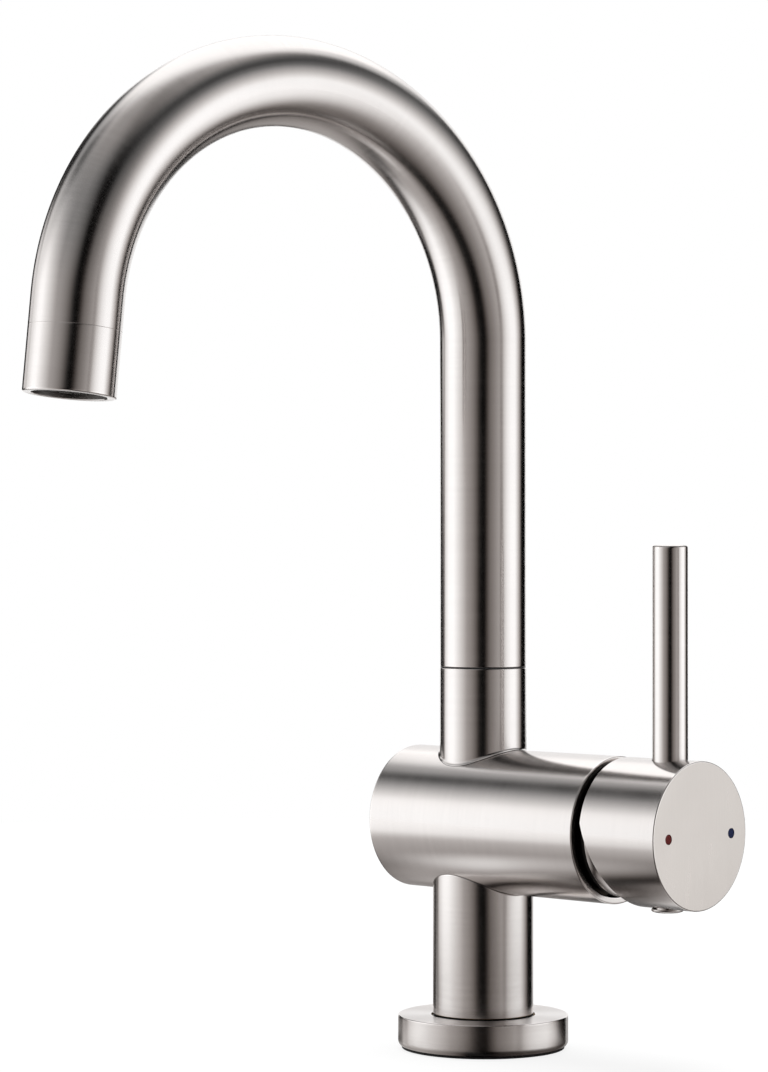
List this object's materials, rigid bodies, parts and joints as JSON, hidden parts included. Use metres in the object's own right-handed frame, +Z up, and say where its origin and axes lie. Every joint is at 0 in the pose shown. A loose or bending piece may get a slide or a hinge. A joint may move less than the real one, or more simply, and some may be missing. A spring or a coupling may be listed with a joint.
{
  "type": "basin mixer tap",
  "caption": "Deck-mounted single-lever basin mixer: gooseneck spout that swivels on a column, side barrel with a pin-lever handle over a ceramic-disc cartridge.",
  "frame": {"origin": "on the column's axis at deck level, in the plane of the foot's underside", "axes": "+Z up along the column, +X along the barrel to the handle, -Y to the user; at rest the spout points 8.5 degrees from -Y towards -X, as pictured"},
  "size_m": [0.1145, 0.1804, 0.2906],
  "materials": {
    "satin_steel": "fine satin brushing",
    "inner_steel": "plain machined steel",
    "chromed_ring": "bright plated",
    "brass": "as machined",
    "copper": "drawn copper tube",
    "rubber": "matt black",
    "black_plastic": "fine matt moulding",
    "white_plastic": "smooth moulding",
    "ceramic": "lapped alumina, opaque",
    "hot_red": "glossy enamel",
    "cold_blue": "glossy enamel"
  },
  "bodies": {
    "root": {"base_gasket": "rubber", "base_rosette": "satin_steel", "column_foot": "brass", "lower_column": "satin_steel", "hot_riser_tube": "copper", "cold_riser_tube": "copper", "barrel": "satin_steel", "barrel_end_cap": "satin_steel", "waterway_core": "brass", "spout_neck": "satin_steel", "spout_set_screw": "inner_steel", "slip_ring": "black_plastic", "cartridge_base": "white_plastic", "base_seals": "rubber", "port_seals": "rubber", "fixed_ceramic_disc": "ceramic", "cartridge_housing": "black_plastic", "cartridge_nut": "brass", "cover_ring": "satin_steel"},
    "spout": {"spout_tube": "satin_steel", "spout_spigot": "brass", "spigot_seals": "rubber", "outlet_sleeve": "satin_steel", "aerator_washer": "rubber", "aerator_housing": "chromed_ring", "aerator_diffuser": "white_plastic", "aerator_grille": "black_plastic"},
    "mixing_rotor": {"cartridge_rotor": "white_plastic", "pivot_pin": "inner_steel"},
    "sliding_disc": {"moving_ceramic_disc": "ceramic", "disc_carrier": "black_plastic"},
    "handle": {"cartridge_lever": "inner_steel", "handle_shell": "satin_steel", "lever_pin": "satin_steel", "grub_screw": "inner_steel", "grub_screw_plug": "satin_steel", "hot_dot": "hot_red", "cold_dot": "cold_blue"}
  },
  "joints": [
    {"name": "spout_swivel", "type": "hinge", "parent": "root", "child": "spout", "pos_m": [0, 0, 0.1], "axis": [0, 0, 1], "continuous": true},
    {"name": "temperature_turn", "type": "hinge", "parent": "root", "child": "mixing_rotor", "pos_m": [0.05, 0, 0.0668], "axis": [1, 0, 0], "range_deg": [-45, 45]},
    {"name": "flow_tilt", "type": "hinge", "parent": "mixing_rotor", "child": "handle", "pos_m": [0.05, 0, 0.0668], "axis": [0, 1, 0], "range_deg": [0, 25]},
    {"name": "disc_slide", "type": "slide", "parent": "mixing_rotor", "child": "sliding_disc", "axis": [0, 0, 1], "range_m": [0, 0.0055]}
  ],
  "couplings": [
    {"joint": "disc_slide", "follows": "flow_tilt", "m_per_rad": 0.0124}
  ]
}
